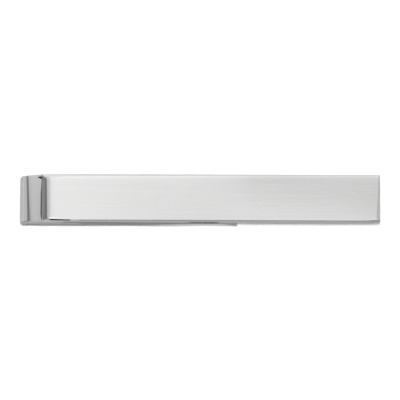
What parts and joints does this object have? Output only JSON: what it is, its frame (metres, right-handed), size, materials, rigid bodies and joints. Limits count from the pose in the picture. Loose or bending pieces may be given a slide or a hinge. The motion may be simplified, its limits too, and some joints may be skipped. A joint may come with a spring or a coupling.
{
  "type": "tie clip",
  "caption": "Slim polished slide-on tie clip: a flat front bar brazed at one end to a folded spring strip, whose wavy leg grips cloth against the back of the bar.",
  "frame": {"origin": "centre of the underside of the bounding box, with the clip lying on its back", "axes": "+X along the bar from the fold to its free end, +Y across the width to the upper edge as worn, +Z out of the front face"},
  "size_m": [0.052, 0.0072, 0.0035],
  "materials": {
    "polished_bar": "bright polished silver-coloured metal with faint lengthwise polish lines",
    "spring_strip": "polished spring-temper strip, a shade greyer than the bar",
    "solder": "dull cleaned-up solder film"
  },
  "bodies": {
    "bar": {"front_bar": "polished_bar", "braze_seam": "solder", "clip_fold": "spring_strip"},
    "leg": {"clip_leg": "spring_strip"}
  },
  "joints": [
    {"name": "leg_flex", "type": "hinge", "parent": "bar", "child": "leg", "pos_m": [-0.0245, 0, 0], "axis": [0, 1, 0], "range_deg": [0, 6], "stiffness_Nm_per_rad": 3.4}
  ]
}
